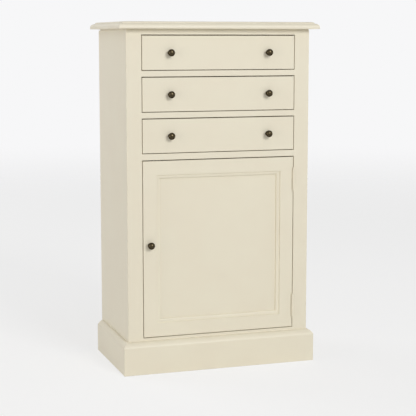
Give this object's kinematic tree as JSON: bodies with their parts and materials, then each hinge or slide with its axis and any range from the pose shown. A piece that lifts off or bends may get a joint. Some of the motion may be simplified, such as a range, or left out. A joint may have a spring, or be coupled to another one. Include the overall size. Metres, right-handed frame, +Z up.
{
  "type": "storage cabinet",
  "caption": "Painted wooden cabinet on a plinth: full-width drawers over a cupboard with a panelled door, under a moulded top.",
  "frame": {"origin": "on the floor, at the middle of the overall width and depth", "axes": "+Z up, +X to the right as seen from the front, -Y out of the front"},
  "size_m": [0.652, 0.388, 1.096],
  "materials": {
    "cream_paint": "cream eggshell paint on wood",
    "planed_timber": "planed pine, waxed",
    "knob_metal": "aged dark bronze, satin",
    "hinge_paint": "painted over with the cabinet's cream",
    "strike_steel": "zinc plated",
    "catch_plastic": "brown moulded plastic"
  },
  "bodies": {
    "carcass": {"side_panel_left": "cream_paint", "side_panel_right": "cream_paint", "stile_left": "cream_paint", "stile_right": "cream_paint", "rail_top": "cream_paint", "rail_drawers_upper": "cream_paint", "rail_drawers_lower": "cream_paint", "rail_middle": "cream_paint", "rail_bottom": "cream_paint", "top_board": "cream_paint", "plinth_front": "cream_paint", "plinth_left": "cream_paint", "plinth_right": "cream_paint", "back_panel": "planed_timber", "cupboard_floor": "planed_timber", "shelf": "planed_timber", "drawer_deck": "planed_timber", "base_rail_back": "planed_timber", "runner_upper_left": "planed_timber", "runner_upper_right": "planed_timber", "runner_middle_left": "planed_timber", "runner_middle_right": "planed_timber", "guide_lower_left": "planed_timber", "guide_lower_right": "planed_timber", "kicker_left": "planed_timber", "kicker_right": "planed_timber", "hinge_upper_frame_leaf": "hinge_paint", "hinge_lower_frame_leaf": "hinge_paint", "magnet_catch": "catch_plastic"},
    "drawer_1": {"drawer_1_front": "cream_paint", "drawer_1_side_left": "planed_timber", "drawer_1_side_right": "planed_timber", "drawer_1_back": "planed_timber", "drawer_1_base": "planed_timber", "drawer_1_knob_left": "knob_metal", "drawer_1_knob_right": "knob_metal"},
    "drawer_2": {"drawer_2_front": "cream_paint", "drawer_2_side_left": "planed_timber", "drawer_2_side_right": "planed_timber", "drawer_2_back": "planed_timber", "drawer_2_base": "planed_timber", "drawer_2_knob_left": "knob_metal", "drawer_2_knob_right": "knob_metal"},
    "drawer_3": {"drawer_3_front": "cream_paint", "drawer_3_side_left": "planed_timber", "drawer_3_side_right": "planed_timber", "drawer_3_back": "planed_timber", "drawer_3_base": "planed_timber", "drawer_3_knob_left": "knob_metal", "drawer_3_knob_right": "knob_metal"},
    "door": {"door_stile_lock": "cream_paint", "door_stile_hinge": "cream_paint", "door_rail_top": "cream_paint", "door_rail_bottom": "cream_paint", "door_panel": "cream_paint", "door_knob": "knob_metal", "strike_plate": "strike_steel", "hinge_upper_door_leaf": "hinge_paint", "hinge_lower_door_leaf": "hinge_paint"}
  },
  "joints": [
    {"name": "drawer_1_slide", "type": "slide", "parent": "carcass", "child": "drawer_1", "axis": [0, -1, 0], "range_m": [0, 0.24]},
    {"name": "drawer_2_slide", "type": "slide", "parent": "carcass", "child": "drawer_2", "axis": [0, -1, 0], "range_m": [0, 0.24]},
    {"name": "drawer_3_slide", "type": "slide", "parent": "carcass", "child": "drawer_3", "axis": [0, -1, 0], "range_m": [0, 0.24]},
    {"name": "door_hinge", "type": "hinge", "parent": "carcass", "child": "door", "pos_m": [0.2505, -0.169, 0.39175], "axis": [0, 0, 1], "range_deg": [0, 170]}
  ]
}
